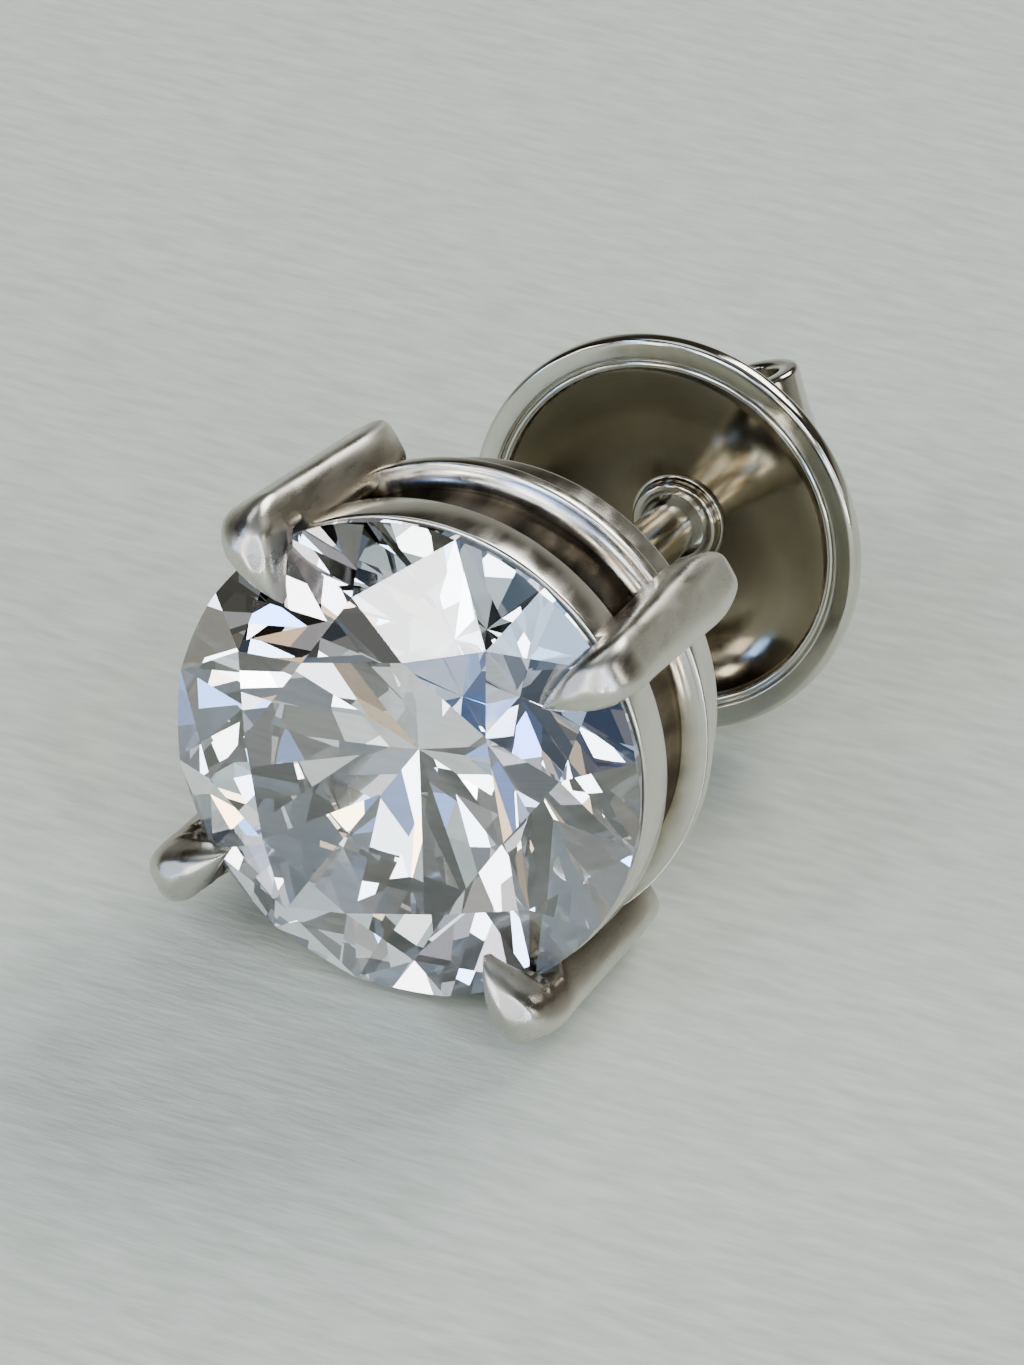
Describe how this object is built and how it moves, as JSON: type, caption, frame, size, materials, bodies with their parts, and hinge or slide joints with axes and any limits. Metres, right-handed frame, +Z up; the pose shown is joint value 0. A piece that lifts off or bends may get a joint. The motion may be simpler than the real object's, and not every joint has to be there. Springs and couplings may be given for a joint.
{
  "type": "stud earring",
  "caption": "Stud earring lying on its side: a round brilliant stone in a claw-set cup, a straight post, and a dished butterfly clutch that slides on the post.",
  "frame": {"origin": "middle of the lying earring's footprint, on the surface that it lies on", "axes": "+Z up; the face of the stone looks towards -Y, and the post runs towards +Y and dips by 4.3 degrees, as the earring lies"},
  "size_m": [0.0066, 0.0142, 0.0067],
  "materials": {
    "stone": "clear cut stone, flat polished facets",
    "setting_metal": "pale warm-grey white gold, fine satin claws and polished cup",
    "clutch_metal": "pale warm-grey white gold, mirror polished"
  },
  "bodies": {
    "stud": {"stone": "stone", "setting": "setting_metal"},
    "clutch": {"clutch": "clutch_metal"}
  },
  "joints": [
    {"name": "clutch_slide", "type": "slide", "parent": "stud", "child": "clutch", "axis": [0, 0.9971, -0.0756], "range_m": [-0.0049, 0.006]}
  ]
}
